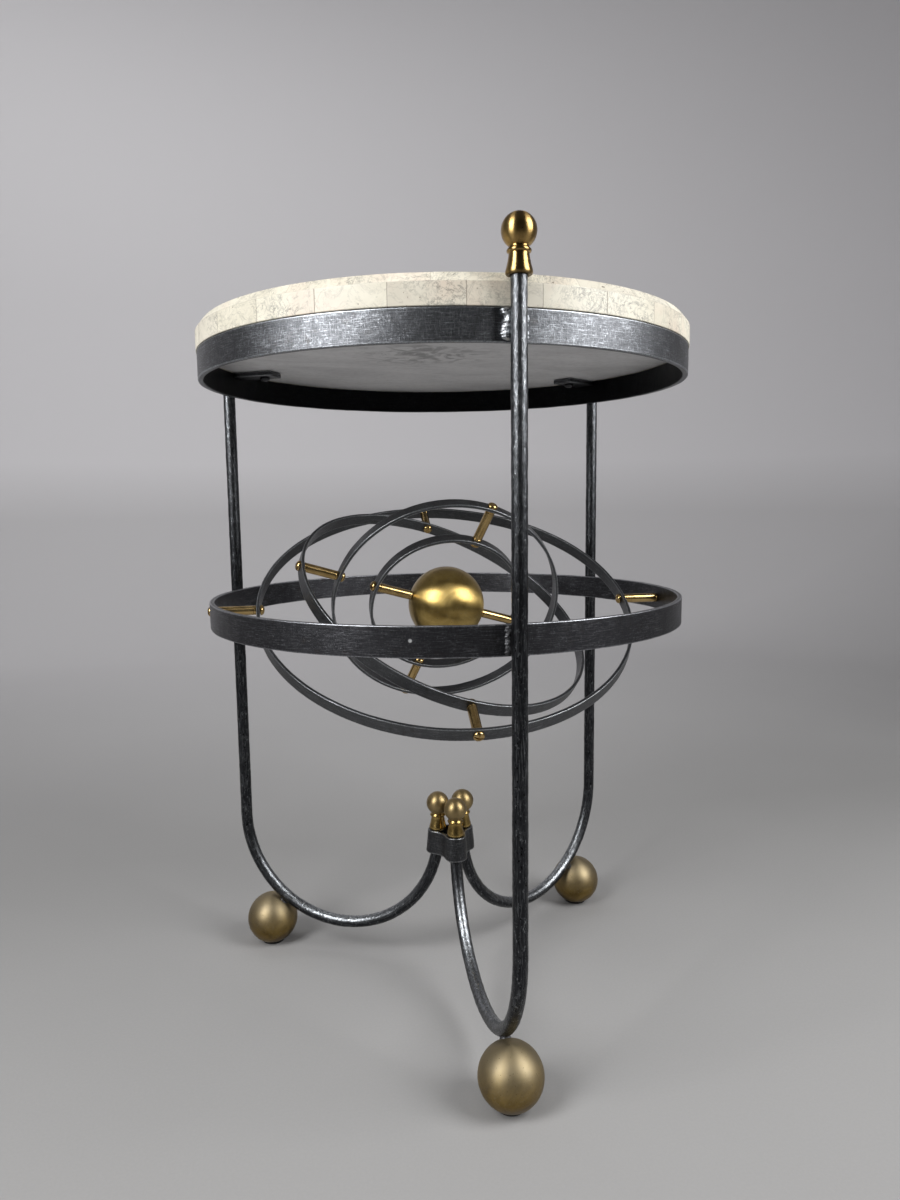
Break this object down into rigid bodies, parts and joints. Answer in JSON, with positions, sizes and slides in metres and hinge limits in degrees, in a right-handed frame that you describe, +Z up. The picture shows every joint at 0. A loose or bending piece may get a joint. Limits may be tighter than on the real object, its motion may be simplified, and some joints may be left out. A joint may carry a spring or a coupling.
{
  "type": "orrery table",
  "caption": "Round stone-topped table on three bent iron legs with ball feet, round a working orrery of nested hoops that turn about a brass globe.",
  "frame": {"origin": "middle of the footprint, on the floor under the foot pads; the table's own axis is 10.25 mm behind it", "axes": "+Z up through the tabletop; -Y towards the front leg; +X to the right seen from the front"},
  "size_m": [0.4846, 0.5018, 0.7192],
  "materials": {
    "iron": "burnished forged iron, dark grey-black with rubbed silvery highlights",
    "brass": "antique satin brass",
    "polished_brass": "polished brass",
    "stone": "honed cream stone veneer with fine grey-brown veins",
    "board": "grey painted core board",
    "rubber": "matt black"
  },
  "bodies": {
    "frame": {"stone_top": "stone", "core_board": "board", "top_ring": "iron", "leg_front": "iron", "foot_ball_front": "brass", "foot_pad_front": "rubber", "rod_finial_front": "brass", "hub_finial_front": "brass", "top_tab_front": "iron", "tab_screw_front": "iron", "leg_right": "iron", "foot_ball_right": "brass", "foot_pad_right": "rubber", "rod_finial_right": "brass", "hub_finial_right": "brass", "top_tab_right": "iron", "tab_screw_right": "iron", "leg_left": "iron", "foot_ball_left": "brass", "foot_pad_left": "rubber", "rod_finial_left": "brass", "hub_finial_left": "brass", "top_tab_left": "iron", "tab_screw_left": "iron", "hub_collar": "iron", "middle_ring": "iron", "outer_hoop_spacer_a": "polished_brass", "outer_hoop_outer_screw_a": "polished_brass", "outer_hoop_inner_screw_a": "polished_brass", "outer_hoop_spacer_b": "polished_brass", "outer_hoop_outer_screw_b": "polished_brass", "outer_hoop_inner_screw_b": "polished_brass"},
    "outer_hoop": {"outer_hoop": "iron", "second_hoop_spacer_a": "polished_brass", "second_hoop_outer_screw_a": "polished_brass", "second_hoop_inner_screw_a": "polished_brass", "second_hoop_spacer_b": "polished_brass", "second_hoop_outer_screw_b": "polished_brass", "second_hoop_inner_screw_b": "polished_brass"},
    "second_hoop": {"second_hoop": "iron", "third_hoop_spacer_a": "polished_brass", "third_hoop_outer_screw_a": "polished_brass", "third_hoop_inner_screw_a": "polished_brass", "third_hoop_spacer_b": "polished_brass", "third_hoop_outer_screw_b": "polished_brass", "third_hoop_inner_screw_b": "polished_brass"},
    "third_hoop": {"third_hoop": "iron", "inner_hoop_spacer_a": "polished_brass", "inner_hoop_outer_screw_a": "polished_brass", "inner_hoop_inner_screw_a": "polished_brass", "inner_hoop_spacer_b": "polished_brass", "inner_hoop_outer_screw_b": "polished_brass", "inner_hoop_inner_screw_b": "polished_brass"},
    "inner_hoop": {"inner_hoop": "iron", "globe_spacer_a": "polished_brass", "globe_outer_screw_a": "polished_brass", "globe_spacer_b": "polished_brass", "globe_outer_screw_b": "polished_brass", "globe_axle": "polished_brass"},
    "globe": {"globe": "brass"}
  },
  "joints": [
    {"name": "outer_hoop_turn", "type": "hinge", "parent": "frame", "child": "outer_hoop", "pos_m": [0, 0.01025, 0.406], "axis": [0.9976, -0.0698, 0], "continuous": true},
    {"name": "second_hoop_turn", "type": "hinge", "parent": "outer_hoop", "child": "second_hoop", "pos_m": [0, 0.01025, 0.406], "axis": [0.0611, 0.8742, 0.4818], "continuous": true},
    {"name": "third_hoop_turn", "type": "hinge", "parent": "second_hoop", "child": "third_hoop", "pos_m": [0, 0.01025, 0.406], "axis": [0.9531, 0.0922, -0.2882], "continuous": true},
    {"name": "inner_hoop_turn", "type": "hinge", "parent": "third_hoop", "child": "inner_hoop", "pos_m": [0, 0.01025, 0.406], "axis": [0.2983, -0.446, 0.8439], "continuous": true},
    {"name": "globe_spin", "type": "hinge", "parent": "inner_hoop", "child": "globe", "pos_m": [0, 0.01025, 0.406], "axis": [0.954, 0.1123, -0.2778], "continuous": true}
  ]
}
